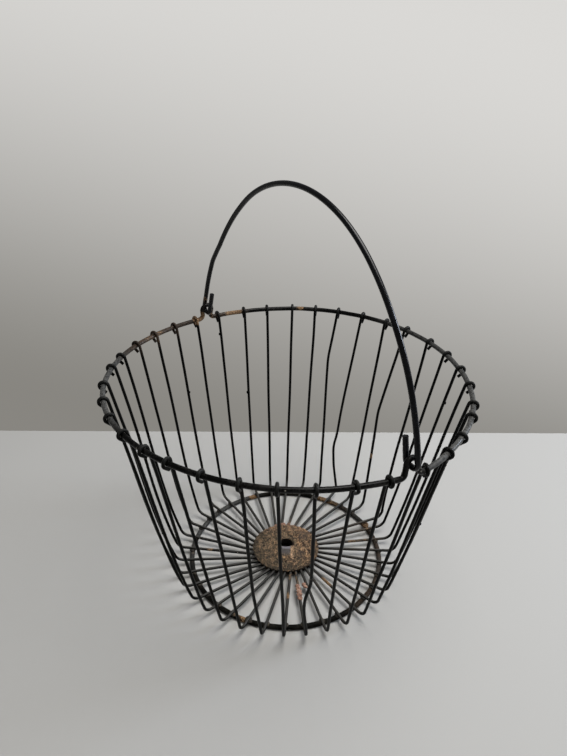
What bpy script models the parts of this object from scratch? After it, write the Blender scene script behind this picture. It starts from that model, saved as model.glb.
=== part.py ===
"""Wire gathering basket with a swinging bail.

Lengths are in metres and +Z is up.  The origin lies on the floor under the middle
of the base.  The line through the two ears that carry the bail runs along X.
"""
import math

import bmesh
import bpy
from mathutils import Vector

# Clearance between two pieces that touch.
TOUCH = 0.0003

# Rim hoop: one steel wire, a little out of round with three flat lobes.
RIM_WIRE = 0.0048
RIM_RADIUS = 0.160
RIM_HEIGHT = 0.2095
RIM_LOBES = 3
RIM_LOBE_DEPTH = 0.0021
RIM_STEP = math.radians(3.0)

# The rim sags beside the ear at +X.
RIM_SAG = 0.0038
RIM_SAG_AZIMUTH = math.radians(3.0)
RIM_SAG_REACH = math.radians(12.0)

# Bail wire, and the play that its hooked ends have in the ears.
BAIL_WIRE = 0.0048
EAR_PLAY = 0.0006
EAR_GRIP = 0.0006
EAR_SLACK = 0.0032

# Ears: the rim wire is bent up into two loops, a little to one side of the middle.  The far
# one is a keyhole; the one at +X is lower and gapes at its foot.
EAR_HEIGHT = 0.0155
EAR_SLUMP = 0.0010
EAR_GAPE = 0.0038
EAR_EYE_WIDTH = BAIL_WIRE + 2 * EAR_PLAY
EAR_NECK_WIDTH = BAIL_WIRE - EAR_GRIP
EAR_BEND_RADIUS = 0.0045
EAR_CROWN_STEPS = 5
EAR_BEND_STEPS = 4
EAR_TILT = math.radians(8.0)
EAR_OFFSET = 0.0028
EAR_ANGLE = math.asin(EAR_OFFSET / RIM_RADIUS)
EAR_AZIMUTHS = (-EAR_ANGLE, math.pi + EAR_ANGLE)

# Foot ring: the wire hoop that the basket stands on.
FOOT_WIRE = 0.0048
FOOT_RADIUS = 0.0967
FOOT_SIDES = 8
FOOT_SEGMENTS = 72

# Ribs: each wire hooks over the rim, runs down the wall and in to the hub.
RIB_COUNT = 36
RIBS_A_SIDE = RIB_COUNT // 2
RIB_WIRE = 0.0031
RIB_OVERHANG = 0.0155
RIB_FOOT_RADIUS = FOOT_RADIUS + RIB_OVERHANG
RIB_BEND_RADIUS = 0.009
RIB_BEND_STEPS = 5
RIB_END_GAP = 0.0006
RIB_CROWDING_RADIUS = RIB_COUNT * (RIB_WIRE + RIB_END_GAP) / (2 * math.pi)
HOOK_TAIL_ANGLE = math.radians(-47.0)
HOOK_TAIL = 0.0058
HOOK_STEPS = 8

# The ribs were spaced by eye, so they drift around the rim and around the base.
RIM_TWIST = math.radians(-0.1)
RIM_DRIFT = math.radians(1.6)
RIM_DRIFT_TOWARDS = math.radians(128.0)
RIM_SECOND_DRIFT = math.radians(0.8)
RIM_SECOND_TOWARDS = math.radians(103.0)
BASE_TWIST = math.radians(1.4)
BASE_DRIFT = math.radians(0.7)
BASE_DRIFT_TOWARDS = math.radians(8.0)
BASE_SECOND_DRIFT = math.radians(0.5)
BASE_SECOND_TOWARDS = math.radians(22.0)

# The floor runs of the ribs aim past the hub's middle, all to the same hand.
FLOOR_MISS = 0.0070
FLOOR_MISS_DRIFT = 0.0042
FLOOR_MISS_TOWARDS = math.radians(-121.0)
RIB_END_RADIUS = math.hypot(RIB_CROWDING_RADIUS, FLOOR_MISS) + FLOOR_MISS_DRIFT

# Dents: rib number, then pairs of share of the wall below the rim and shift along the rim.
DENTS = {
    10: ((0.48, 0.009),),
    12: ((0.43, 0.0062), (0.67, 0.0053), (0.86, 0.0063)),
    13: ((0.26, 0.0055), (0.50, 0.004)),
    24: ((0.45, -0.003),),
    25: ((0.40, -0.0045),),
    34: ((0.80, -0.003),),
}
# Ribs whose bend at the foot was knocked round the base, in degrees.
SKEWED_FEET = {9: -4.5}
# Ribs whose hook has slipped along the rim, in degrees.
SLIPPED_HOOKS = {
    1: 1.7, 2: 1.0, 3: -1.0, 5: -3.3, 6: -2.0, 7: -1.7, 8: -1.3, 9: -1.0, 10: 0.8,
    14: -0.8, 15: -1.4, 16: -1.0, 17: -1.3, 24: -1.8, 25: -0.5, 26: -0.6, 27: -0.6,
    28: -0.5, 30: -0.9, 32: 0.8, 33: 0.7, 34: 0.5, 35: 0.8,
}

# Hub: two sheet discs that clamp the ribs' inner ends, held by a drawn collar.
HUB_RADIUS = 0.0345
HUB_SHEET = 0.0012
HUB_CROWN = 0.0060
HUB_HOLE_RADIUS = 0.0065
HUB_FLARE = 0.0024
HUB_EDGE_SETBACK = 0.0015
HUB_CROWN_STEPS = 5
HUB_SEGMENTS = 48

# Bail: a wire arch whose hooked ends turn in the ears.
BAIL_RISE = 0.162
BAIL_AXIS_ABOVE_RIM = EAR_HEIGHT - RIM_WIRE / 2 - BAIL_WIRE / 2 - EAR_SLACK
BAIL_LEG = 0.010
BAIL_LEG_SLANT = math.radians(14.0)
BAIL_HOOK_CLEARANCE = 0.0005
BAIL_EAR_SLOPE = math.tan(BAIL_LEG_SLANT) - math.tan(EAR_TILT)
BAIL_HOOK_SLOPE = (EAR_HEIGHT - BAIL_AXIS_ABOVE_RIM) * BAIL_EAR_SLOPE
BAIL_HOOK_WIDTH = RIM_WIRE + BAIL_WIRE + 2 * (BAIL_HOOK_CLEARANCE + BAIL_HOOK_SLOPE)
BAIL_HOOK_BEND = 0.0045
BAIL_HOOK_STEPS = 4
BAIL_STUB = 0.020
BAIL_LONGER_STUB = 0.0236
BAIL_CROWN_ANGLE = math.radians(39.5)
BAIL_CROWN_STEPS = 7
BAIL_SIDE_STEPS = 5
BAIL_LEAN = math.radians(2.3)

# Heights that follow from the sizes above.
FLOOR_WIRE_HEIGHT = FOOT_WIRE + TOUCH + RIB_WIRE / 2
BAIL_AXIS_HEIGHT = RIM_HEIGHT - RIM_SAG / 2 + BAIL_AXIS_ABOVE_RIM
BAIL_AXIS_DIP = math.atan(RIM_SAG / (2 * RIM_RADIUS))

UP = Vector((0.0, 0.0, 1.0))


def outward(azimuth):
    """Unit vector that points away from the basket's axis."""
    return Vector((math.cos(azimuth), math.sin(azimuth), 0.0))


def cylindrical(radius, azimuth, height):
    """Point at a radius, azimuth and height about the basket's axis."""
    return outward(azimuth) * radius + UP * height


def rim_radius(azimuth):
    """Distance from the axis to the middle of the rim wire."""
    return RIM_RADIUS + RIM_LOBE_DEPTH * math.cos(RIM_LOBES * azimuth)


def rim_height(azimuth):
    """Height of the middle of the rim wire, without its ears."""
    from_sag = math.remainder(azimuth - RIM_SAG_AZIMUTH, 2 * math.pi)
    return RIM_HEIGHT - RIM_SAG * math.exp(-((from_sag / RIM_SAG_REACH) ** 2))


def spread(start, end, steps):
    """Evenly spaced values from start to end, both included."""
    return [start + (end - start) * i / steps for i in range(steps + 1)]


def rounded_corner(before, corner, after, radius, steps):
    """Points of the arc that rounds the corner between two straight runs."""
    towards_before = (before - corner).normalized()
    towards_after = (after - corner).normalized()
    half_angle = towards_before.angle(towards_after) / 2
    middle = (towards_before + towards_after).normalized()
    centre = corner + middle * radius / math.sin(half_angle)
    tangent_length = radius / math.tan(half_angle)
    first = corner + towards_before * tangent_length - centre
    last = corner + towards_after * tangent_length - centre
    sweep = first.angle(last)
    points = []
    for angle in spread(0.0, sweep, steps):
        weight_first = math.sin(sweep - angle) / math.sin(sweep)
        weight_last = math.sin(angle) / math.sin(sweep)
        points.append(centre + first * weight_first + last * weight_last)
    return points


def metal(name, colour, roughness, metallic):
    """Plain metal material."""
    material = bpy.data.materials.new(name)
    material.use_nodes = True
    shader = material.node_tree.nodes["Principled BSDF"]
    shader.inputs["Base Color"].default_value = (*colour, 1.0)
    shader.inputs["Roughness"].default_value = roughness
    shader.inputs["Metallic"].default_value = metallic
    return material


def place(name, data, material, location=(0.0, 0.0, 0.0), rotation=(0.0, 0.0, 0.0)):
    """Put a mesh or a curve into the scene as one named piece."""
    data.materials.append(material)
    piece = bpy.data.objects.new(name, data)
    piece.location = location
    piece.rotation_euler = rotation
    bpy.context.scene.collection.objects.link(piece)
    return piece


def wire(name, points, diameter, closed=False):
    """Round wire along a list of points."""
    curve = bpy.data.curves.new(name, "CURVE")
    curve.dimensions = "3D"
    curve.bevel_depth = diameter / 2
    curve.bevel_resolution = 2
    curve.render_resolution_u = 0
    curve.use_fill_caps = True
    spline = curve.splines.new("POLY")
    spline.points.add(len(points) - 1)
    for spline_point, point in zip(spline.points, points):
        spline_point.co = (*point, 1.0)
    spline.use_cyclic_u = closed
    spline.use_smooth = True
    return curve


def turned(name, profile, segments):
    """Solid of revolution about Z from a closed outline of (radius, height) points."""
    shape = bmesh.new()
    corners = [shape.verts.new((radius, 0.0, height)) for radius, height in profile]
    edges = [shape.edges.new((a, b)) for a, b in zip(corners, corners[1:] + corners[:1])]
    bmesh.ops.spin(
        shape,
        geom=corners + edges,
        cent=(0.0, 0.0, 0.0),
        axis=UP,
        angle=2 * math.pi,
        steps=segments,
        use_merge=True,
    )
    bmesh.ops.remove_doubles(shape, verts=shape.verts, dist=1e-6)
    bmesh.ops.recalc_face_normals(shape, faces=shape.faces)
    mesh = bpy.data.meshes.new(name)
    shape.to_mesh(mesh)
    shape.free()
    mesh.shade_smooth()
    mesh.set_sharp_from_angle(angle=math.radians(50.0))
    return mesh


def ear_spans():
    """The two halves of the rim, each from one ear's azimuth to the next ear's."""
    first, second = EAR_AZIMUTHS
    return ((first, second), (second, first + 2 * math.pi))


def ear_outline(slump, gape):
    """Ear seen from outside: (distance along the rim, height above it)."""
    neck = (EAR_NECK_WIDTH + gape + RIM_WIRE) / 2
    eye = (EAR_EYE_WIDTH + RIM_WIRE) / 2
    eye_height = EAR_HEIGHT - slump - eye
    bend_middle = neck + EAR_BEND_RADIUS
    half = []
    for angle in spread(math.pi / 2, 0.0, EAR_CROWN_STEPS):
        half.append((eye * math.cos(angle), eye_height + eye * math.sin(angle)))
    for angle in spread(math.pi, 1.5 * math.pi, EAR_BEND_STEPS):
        along = bend_middle + EAR_BEND_RADIUS * math.cos(angle)
        half.append((along, EAR_BEND_RADIUS * (1 + math.sin(angle))))
    other_half = [(-along, height) for along, height in reversed(half[1:])]
    return other_half + half


def rim_path():
    """Middle of the rim wire, once around and up through both ears."""
    points = []
    ear_forms = ((EAR_SLUMP, EAR_GAPE), (0.0, 0.0))
    for (ear_azimuth, next_azimuth), (slump, gape) in zip(ear_spans(), ear_forms):
        outline = ear_outline(slump, gape)
        for along, height in outline:
            azimuth = ear_azimuth + along / rim_radius(ear_azimuth)
            radius = rim_radius(azimuth) - height * math.tan(EAR_TILT)
            points.append(cylindrical(radius, azimuth, rim_height(azimuth) + height))
        start = ear_azimuth + outline[-1][0] / rim_radius(ear_azimuth)
        end = next_azimuth + outline[0][0] / rim_radius(next_azimuth)
        steps = round((end - start) / RIM_STEP)
        for azimuth in spread(start, end, steps)[1:-1]:
            points.append(cylindrical(rim_radius(azimuth), azimuth, rim_height(azimuth)))
    return points


def even_azimuth(number):
    """Where one rib would stand if all were spaced evenly between the ears."""
    side, place_in_side = divmod(number - 1, RIBS_A_SIDE)
    start, end = ear_spans()[side]
    return start + (end - start) * (place_in_side + 0.5) / RIBS_A_SIDE


def rib_azimuths(number):
    """Where one rib stands around the rim and around the base."""
    even = even_azimuth(number)
    slip = math.radians(SLIPPED_HOOKS.get(number, 0.0))
    rim_drift = RIM_DRIFT * math.cos(even - RIM_DRIFT_TOWARDS)
    rim_drift += RIM_SECOND_DRIFT * math.cos(2 * (even - RIM_SECOND_TOWARDS))
    base_drift = BASE_DRIFT * math.cos(even - BASE_DRIFT_TOWARDS)
    base_drift += BASE_SECOND_DRIFT * math.cos(2 * (even - BASE_SECOND_TOWARDS))
    return even + RIM_TWIST + rim_drift + slip, even + BASE_TWIST + base_drift


def rib_end_azimuth(number):
    """Where one rib ends in the hub, on a run that passes the axis at its miss."""
    base_azimuth = rib_azimuths(number)[1]
    miss = FLOOR_MISS + FLOOR_MISS_DRIFT * math.cos(even_azimuth(number) - FLOOR_MISS_TOWARDS)
    return base_azimuth + math.asin(miss / RIB_END_RADIUS) - math.asin(miss / RIB_FOOT_RADIUS)


def rib_path(number):
    """Middle of one rib wire, from its cut tail under the rim to its end in the hub."""
    rim_azimuth, base_azimuth = rib_azimuths(number)
    foot_azimuth = base_azimuth + math.radians(SKEWED_FEET.get(number, 0.0))
    hook_radius = RIM_WIRE / 2 + TOUCH + RIB_WIRE / 2
    hook_middle = cylindrical(rim_radius(rim_azimuth), rim_azimuth, rim_height(rim_azimuth))
    wall_width = rim_radius(rim_azimuth) - hook_radius - RIB_FOOT_RADIUS
    wall_slope = math.atan2(wall_width, hook_middle.z - FLOOR_WIRE_HEIGHT)
    tail_out = math.cos(HOOK_TAIL_ANGLE) * hook_radius + math.sin(HOOK_TAIL_ANGLE) * HOOK_TAIL
    tail_up = math.sin(HOOK_TAIL_ANGLE) * hook_radius - math.cos(HOOK_TAIL_ANGLE) * HOOK_TAIL
    points = [hook_middle + outward(rim_azimuth) * tail_out + UP * tail_up]
    for angle in spread(HOOK_TAIL_ANGLE, math.pi - wall_slope, HOOK_STEPS):
        reach = outward(rim_azimuth) * math.cos(angle) + UP * math.sin(angle)
        points.append(hook_middle + reach * hook_radius)
    corner = cylindrical(RIB_FOOT_RADIUS, foot_azimuth, FLOOR_WIRE_HEIGHT)
    end = cylindrical(RIB_END_RADIUS, rib_end_azimuth(number), FLOOR_WIRE_HEIGHT)
    wall_top = points[-1]
    along_rim = UP.cross(outward(rim_azimuth))
    for share, shift in DENTS.get(number, ()):
        points.append(wall_top.lerp(corner, share) + along_rim * shift)
    points += rounded_corner(points[-1], corner, end, RIB_BEND_RADIUS, RIB_BEND_STEPS)
    points.append(end)
    return points


def foot_profile():
    """Section of the foot ring, with flats below and above."""
    outer = FOOT_WIRE / 2 / math.cos(math.pi / FOOT_SIDES)
    profile = []
    for side in range(FOOT_SIDES):
        angle = 2 * math.pi * (side + 0.5) / FOOT_SIDES
        radius = FOOT_RADIUS + outer * math.cos(angle)
        profile.append((radius, FOOT_WIRE / 2 + outer * math.sin(angle)))
    return profile


def hub_top_profile():
    """Section of the crowned top disc, with its collar flared under the bottom disc."""
    seat = FLOOR_WIRE_HEIGHT + RIB_WIRE / 2 + TOUCH
    collar_radius = HUB_HOLE_RADIUS + HUB_SHEET
    disc_underside = FLOOR_WIRE_HEIGHT - RIB_WIRE / 2 - TOUCH - HUB_SHEET
    flare_top = disc_underside - TOUCH
    flare_radius = collar_radius + HUB_FLARE
    above = []
    below = []
    for radius in spread(HUB_RADIUS, collar_radius, HUB_CROWN_STEPS):
        crown = HUB_CROWN * (1 - (radius / HUB_RADIUS) ** 2)
        below.append((radius, seat + crown))
        above.append((radius, seat + crown + HUB_SHEET))
    collar = [
        (collar_radius, flare_top),
        (flare_radius, flare_top),
        (flare_radius, flare_top - HUB_SHEET),
        (HUB_HOLE_RADIUS, flare_top - HUB_SHEET),
    ]
    lip = (HUB_HOLE_RADIUS, above[-1][1] - HUB_SHEET / 2)
    return below + collar + [lip] + above[::-1]


def hub_bottom_profile():
    """Section of the flat bottom disc under the ribs' ends."""
    top = FLOOR_WIRE_HEIGHT - RIB_WIRE / 2 - TOUCH
    hole = HUB_HOLE_RADIUS + HUB_SHEET + TOUCH
    edge = HUB_RADIUS - HUB_EDGE_SETBACK
    return [(hole, top), (edge, top), (edge, top - HUB_SHEET), (hole, top - HUB_SHEET)]


def bail_hook(ear_x, side, stub):
    """Hooked end of the bail from its cut stub to the foot of the arch, seen square on."""
    stub_x = ear_x - side * BAIL_HOOK_WIDTH / 2
    leg_x = ear_x + side * BAIL_HOOK_WIDTH / 2
    lean = math.tan(BAIL_LEG_SLANT) * side
    stub_end = Vector((stub_x - lean * stub, 0.0, stub))
    stub_foot = Vector((stub_x, 0.0, 0.0))
    leg_foot = Vector((leg_x, 0.0, 0.0))
    leg_end = Vector((leg_x - lean * BAIL_LEG, 0.0, BAIL_LEG))
    points = [stub_end]
    points += rounded_corner(stub_end, stub_foot, leg_foot, BAIL_HOOK_BEND, BAIL_HOOK_STEPS)
    points += rounded_corner(stub_foot, leg_foot, leg_end, BAIL_HOOK_BEND, BAIL_HOOK_STEPS)
    return points, leg_end


def bail_arch(foot_left, foot_right):
    """Three-centred arch between the legs: a crown arc and two flatter side arcs."""
    middle_x = (foot_left.x + foot_right.x) / 2
    half_span = (foot_right.x - foot_left.x) / 2
    rise = BAIL_RISE - foot_right.z
    crown_sin = math.sin(BAIL_CROWN_ANGLE)
    crown_cos = math.cos(BAIL_CROWN_ANGLE)
    side_sin = math.cos(BAIL_LEG_SLANT) - crown_sin
    side_cos = math.sin(BAIL_LEG_SLANT) - crown_cos
    determinant = crown_sin * side_cos - side_sin * (crown_cos - 1)
    crown_radius = (half_span * side_cos + rise * side_sin) / determinant
    side_radius = (-rise * crown_sin - half_span * (crown_cos - 1)) / determinant
    half = []
    for angle in spread(0.0, BAIL_CROWN_ANGLE, BAIL_CROWN_STEPS):
        x = crown_radius * math.sin(angle)
        z = BAIL_RISE - crown_radius * (1 - math.cos(angle))
        half.append((x, z))
    join_x, join_z = half[-1]
    for angle in spread(BAIL_CROWN_ANGLE, math.pi / 2 - BAIL_LEG_SLANT, BAIL_SIDE_STEPS)[1:]:
        x = join_x + side_radius * (math.sin(angle) - crown_sin)
        z = join_z + side_radius * (math.cos(angle) - crown_cos)
        half.append((x, z))
    left = [Vector((middle_x - x, 0.0, z)) for x, z in reversed(half[1:])]
    right = [Vector((middle_x + x, 0.0, z)) for x, z in half]
    return left + right


def bail_path():
    """Middle of the bail wire about its hinge axis, from stub end to stub end."""
    tilted_in = BAIL_AXIS_ABOVE_RIM * math.tan(EAR_TILT)
    ears_x = [(rim_radius(azimuth) - tilted_in) * math.cos(azimuth) for azimuth in EAR_AZIMUTHS]
    hook_right, foot_right = bail_hook(ears_x[0], 1, BAIL_STUB)
    hook_left, foot_left = bail_hook(ears_x[1], -1, BAIL_LONGER_STUB)
    return hook_left + bail_arch(foot_left, foot_right) + hook_right[::-1]


def clear_scene():
    """Start from an empty scene."""
    for old in list(bpy.data.objects):
        bpy.data.objects.remove(old, do_unlink=True)


def build():
    """Make every piece of the basket."""
    clear_scene()
    black_wire = metal("black_wire", (0.030, 0.030, 0.032), 0.42, 0.6)
    dull_wire = metal("dull_wire", (0.060, 0.055, 0.050), 0.6, 0.5)
    rusty_sheet = metal("rusty_sheet", (0.30, 0.17, 0.09), 0.85, 0.2)
    place("rim_hoop", wire("rim_hoop", rim_path(), RIM_WIRE, closed=True), black_wire)
    for number in range(1, RIB_COUNT + 1):
        name = f"rib_{number:02d}"
        place(name, wire(name, rib_path(number), RIB_WIRE), black_wire)
    place("foot_ring", turned("foot_ring", foot_profile(), FOOT_SEGMENTS), dull_wire)
    place("hub_top_disc", turned("hub_top_disc", hub_top_profile(), HUB_SEGMENTS), rusty_sheet)
    place("hub_bottom_disc", turned("hub_bottom_disc", hub_bottom_profile(), HUB_SEGMENTS), rusty_sheet)
    place(
        "bail",
        wire("bail", bail_path(), BAIL_WIRE),
        black_wire,
        location=(0.0, -EAR_OFFSET, BAIL_AXIS_HEIGHT),
        rotation=(-BAIL_LEAN, BAIL_AXIS_DIP, 0.0),
    )


build()
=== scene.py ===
# %% [markdown]
# # A wire gathering basket, wire by wire
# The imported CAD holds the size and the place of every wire, the hub and the hinge of the
# bail.  The cells below bend the same wires again with rounder bends and a slight sway,
# press the hub's rusty cap down between the wires, and give each metal its old skin.

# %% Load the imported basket
import math

import bpy
from mathutils import Euler, Matrix, Vector, noise


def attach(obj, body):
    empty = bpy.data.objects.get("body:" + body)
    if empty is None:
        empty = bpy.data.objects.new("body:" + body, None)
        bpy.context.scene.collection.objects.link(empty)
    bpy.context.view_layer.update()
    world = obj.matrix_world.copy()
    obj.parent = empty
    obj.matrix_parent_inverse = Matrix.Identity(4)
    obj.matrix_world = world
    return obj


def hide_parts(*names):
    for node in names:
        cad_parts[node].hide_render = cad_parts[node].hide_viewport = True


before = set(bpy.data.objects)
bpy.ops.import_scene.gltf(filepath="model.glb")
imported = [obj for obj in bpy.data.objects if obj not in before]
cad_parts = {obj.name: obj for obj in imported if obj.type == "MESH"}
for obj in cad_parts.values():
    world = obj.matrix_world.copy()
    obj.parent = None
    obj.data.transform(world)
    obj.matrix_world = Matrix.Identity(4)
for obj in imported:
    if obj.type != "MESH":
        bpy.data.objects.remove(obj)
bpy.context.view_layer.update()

bpy.context.scene.view_settings.view_transform = "Standard"


def deselect_all():
    """Let go of everything, because an operator acts on all that is selected."""
    bpy.ops.object.select_all(action="DESELECT")


deselect_all()

# %% [markdown]
# ## The camera
# The picture was taken from a little above, so that one looks over the near rim down onto
# the hub.  A camera could be aimed by a constraint, but a slight pan and roll show in the
# horizon line, so it is turned by its own three directions: right, up and forward.

# %% Stand the camera in front of the basket
CAMERA_ROUND = math.radians(56.05)
CAMERA_AWAY = 0.5091
CAMERA_UP = 0.4854
CAMERA_TILT = math.radians(28.51)
CAMERA_PAN = math.radians(-0.63)
CAMERA_ROLL = math.radians(1.03)
LENS = 30.92
SENSOR = 36.0

studio_turn = Matrix.Rotation(CAMERA_ROUND, 3, "Z")


def in_studio(right, back, up):
    """A place given as the photographer sees it: to the right, beyond the basket, and up."""
    return studio_turn @ Vector((right, back, up))


level = Vector((math.sin(CAMERA_PAN), math.cos(CAMERA_PAN), 0.0))
forward = studio_turn @ (level * math.cos(CAMERA_TILT) - Vector((0, 0, math.sin(CAMERA_TILT))))
rightward = studio_turn @ Vector((math.cos(CAMERA_PAN), -math.sin(CAMERA_PAN), 0.0))
upward = rightward.cross(forward)
rolled_right = rightward * math.cos(CAMERA_ROLL) + upward * math.sin(CAMERA_ROLL)
rolled_up = upward * math.cos(CAMERA_ROLL) - rightward * math.sin(CAMERA_ROLL)
facing = Matrix((rolled_right, rolled_up, -forward)).transposed()
bpy.ops.object.camera_add(location=in_studio(0.0, -CAMERA_AWAY, CAMERA_UP), rotation=facing.to_euler())
camera = bpy.context.object
camera.name = "camera"
camera.data.lens = LENS
camera.data.sensor_width = SENSOR
camera.data.clip_start = 0.02
bpy.context.scene.camera = camera
print("camera at", [round(n, 3) for n in camera.location])

# %% [markdown]
# ## Helpers for paint
# A material is a tree of nodes, and most of its nodes are small sums.  The helpers below
# each add one node, feed it with other nodes' outputs or with plain values, and hand back
# its output, so that a recipe reads like a few lines of arithmetic.

# %% Helpers that add and join shader nodes
def plain_paint(name, colour, roughness):
    """A plain Principled material, and its node tree."""
    material = bpy.data.materials.new(name)
    material.use_nodes = True
    shader = material.node_tree.nodes["Principled BSDF"]
    shader.inputs["Base Color"].default_value = (*colour, 1.0)
    shader.inputs["Roughness"].default_value = roughness
    return material, material.node_tree


def feed(tree, value, socket):
    """Link another node's output to a socket, or set a plain number, colour or vector on it."""
    if isinstance(value, bpy.types.NodeSocket):
        tree.links.new(value, socket)
    elif isinstance(value, tuple):
        socket.default_value = (*value, 1.0)
    else:
        socket.default_value = value


def math_node(tree, operation, first, second):
    """One sum on two values.  Sums and differences stay between 0 and 1."""
    node = tree.nodes.new("ShaderNodeMath")
    node.operation = operation
    node.use_clamp = operation in ("ADD", "SUBTRACT")
    feed(tree, first, node.inputs[0])
    feed(tree, second, node.inputs[1])
    return node.outputs[0]


def plus(tree, first, second):
    """Two values added, at most 1."""
    return math_node(tree, "ADD", first, second)


def times(tree, first, second):
    """Two values multiplied."""
    return math_node(tree, "MULTIPLY", first, second)


def vector_node(tree, operation, first, second=None):
    """One sum on vectors, such as a dot product, a distance or a length."""
    node = tree.nodes.new("ShaderNodeVectorMath")
    node.operation = operation
    feed(tree, first, node.inputs[0])
    if second is not None:
        feed(tree, second, node.inputs[1])
    return node.outputs["Vector" if operation == "MULTIPLY" else "Value"]


def ramp_node(tree, value, low, high, bottom=0.0, top=1.0):
    """A smooth rise from bottom to top as value goes from low to high."""
    node = tree.nodes.new("ShaderNodeMapRange")
    node.interpolation_type = "SMOOTHSTEP"
    for label, setting in (("From Min", low), ("From Max", high), ("To Min", bottom), ("To Max", top)):
        feed(tree, setting, node.inputs[label])
    feed(tree, value, node.inputs["Value"])
    return node.outputs["Result"]


def blend_node(tree, share, first, second):
    """A colour between two others."""
    node = tree.nodes.new("ShaderNodeMix")
    node.data_type = "RGBA"
    feed(tree, share, node.inputs["Factor"])
    feed(tree, first, node.inputs[6])
    feed(tree, second, node.inputs[7])
    return node.outputs[2]


# %% [markdown]
# ## The studio
# The basket stands on a pale grey floor in front of a pale wall.  One big soft lamp hangs
# overhead and a cooler one stands to the right like a window, because dark wire shows its
# roundness only by what it mirrors.  The wall shows to the camera alone and only from its
# front, so that it neither blocks light nor hides the basket from behind.  It gives its own
# pale grey, a little darker towards the floor and away from the window, because the lamps
# hardly reach it.

# %% Lay the floor and stand the wall
FLOOR_GREY = (0.46, 0.455, 0.44)
WALL_LOW = (0.245, 0.236, 0.216)
WALL_HIGH = (0.70, 0.69, 0.67)
WALL_BEYOND = 0.231
WALL_TURN = math.radians(2.0)
WALL_GLOW_FROM = -0.04
WALL_GLOW_TO = 0.55
TOWARDS_WINDOW = 0.26
ROOM_SIZE = 9.0
STAGE_ROUGHNESS = 0.9


def stage_plane(name, location, rotation, colour):
    """A large plane of the studio with its paint."""
    bpy.ops.mesh.primitive_plane_add(size=ROOM_SIZE, location=location, rotation=rotation)
    plane = bpy.context.object
    plane.name = name
    paint, tree = plain_paint(f"{name}_paint", colour, STAGE_ROUGHNESS)
    plane.data.materials.append(paint)
    return tree


stage_plane("floor", (0.0, 0.0, 0.0), (0.0, 0.0, 0.0), FLOOR_GREY)
upright = (math.pi / 2, 0.0, CAMERA_ROUND + WALL_TURN)
tree = stage_plane("wall", in_studio(0.0, WALL_BEYOND, 0.0), upright, WALL_LOW)
ray = tree.nodes.new("ShaderNodeLightPath")
side = tree.nodes.new("ShaderNodeNewGeometry")
climb = vector_node(tree, "DOT_PRODUCT", side.outputs["Position"], in_studio(TOWARDS_WINDOW, 0.0, 1.0))
shade = blend_node(tree, ramp_node(tree, climb, WALL_GLOW_FROM, WALL_GLOW_TO), WALL_LOW, WALL_HIGH)
glow = tree.nodes.new("ShaderNodeEmission")
feed(tree, shade, glow.inputs["Color"])
clear = tree.nodes.new("ShaderNodeBsdfTransparent")
chooser = tree.nodes.new("ShaderNodeMixShader")
front_only = math_node(tree, "SUBTRACT", ray.outputs["Is Camera Ray"], side.outputs["Backfacing"])
feed(tree, front_only, chooser.inputs["Fac"])
feed(tree, clear.outputs[0], chooser.inputs[1])
feed(tree, glow.outputs[0], chooser.inputs[2])
feed(tree, chooser.outputs[0], tree.nodes["Material Output"].inputs["Surface"])
print("wall stands", WALL_BEYOND, "m beyond the basket")

# %% Hang the lamps
LAMP_AIM = Vector((0.0, 0.0, 0.12))
SKY_GREY = (0.80, 0.80, 0.79)
SKY_STRENGTH = 0.22
# Each lamp: name, place as the photographer sees it, width, watts and colour.
LAMPS = (
    ("overhead_softbox", (0.45, 0.05, 1.6), 1.0, 25.0, (1.0, 0.985, 0.96)),
    ("window_softbox", (1.6, 0.42, 0.75), 0.45, 16.0, (0.78, 0.86, 1.0)),
)

for name, seen_at, width, watts, colour in LAMPS:
    place = in_studio(*seen_at)
    aim = (LAMP_AIM - place).to_track_quat("-Z", "Y").to_euler()
    bpy.ops.object.light_add(type="AREA", location=place, rotation=aim)
    lamp = bpy.context.object
    lamp.name = name
    lamp.data.shape = "SQUARE"
    lamp.data.size = width
    lamp.data.energy = watts
    lamp.data.color = colour
world = bpy.context.scene.world or bpy.data.worlds.new("studio_world")
bpy.context.scene.world = world
world.use_nodes = True
sky = world.node_tree.nodes["Background"]
sky.inputs["Color"].default_value = (*SKY_GREY, 1.0)
sky.inputs["Strength"].default_value = SKY_STRENGTH

# %% [markdown]
# ## Sizes and directions shared by all the wires
# The basket is round, so a point is easiest to give by its radius, its azimuth and its
# height.  These few helpers do that.  The sizes are the CAD's own, in metres, so that each
# new wire lies where its CAD node lies.

# %% Round-about helpers and the wires' sizes
TOUCH = 0.0003
RIM_WIRE = 0.0048
BAIL_WIRE = 0.0048
FOOT_WIRE = 0.0048
RIB_WIRE = 0.0031
RIM_RADIUS = 0.160
RIM_LOBES = 3
RIM_LOBE_DEPTH = 0.0021
RIM_HEIGHT = 0.2095
RIM_SAG = 0.0038
RIM_SAG_AZIMUTH = math.radians(3.0)
RIM_SAG_REACH = math.radians(12.0)
FOOT_RADIUS = 0.0967
FLOOR_WIRE_HEIGHT = FOOT_WIRE + TOUCH + RIB_WIRE / 2
UP = Vector((0.0, 0.0, 1.0))


def outward(azimuth):
    """Unit vector that points away from the basket's axis."""
    return Vector((math.cos(azimuth), math.sin(azimuth), 0.0))


def cylindrical(radius, azimuth, height):
    """Point at a radius, azimuth and height about the basket's axis."""
    return outward(azimuth) * radius + UP * height


def spread(start, end, steps):
    """Evenly spaced values from start to end, both included."""
    return [start + (end - start) * i / steps for i in range(steps + 1)]


def rim_radius(azimuth):
    """The hoop is a little three-cornered."""
    return RIM_RADIUS + RIM_LOBE_DEPTH * math.cos(RIM_LOBES * azimuth)


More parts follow.
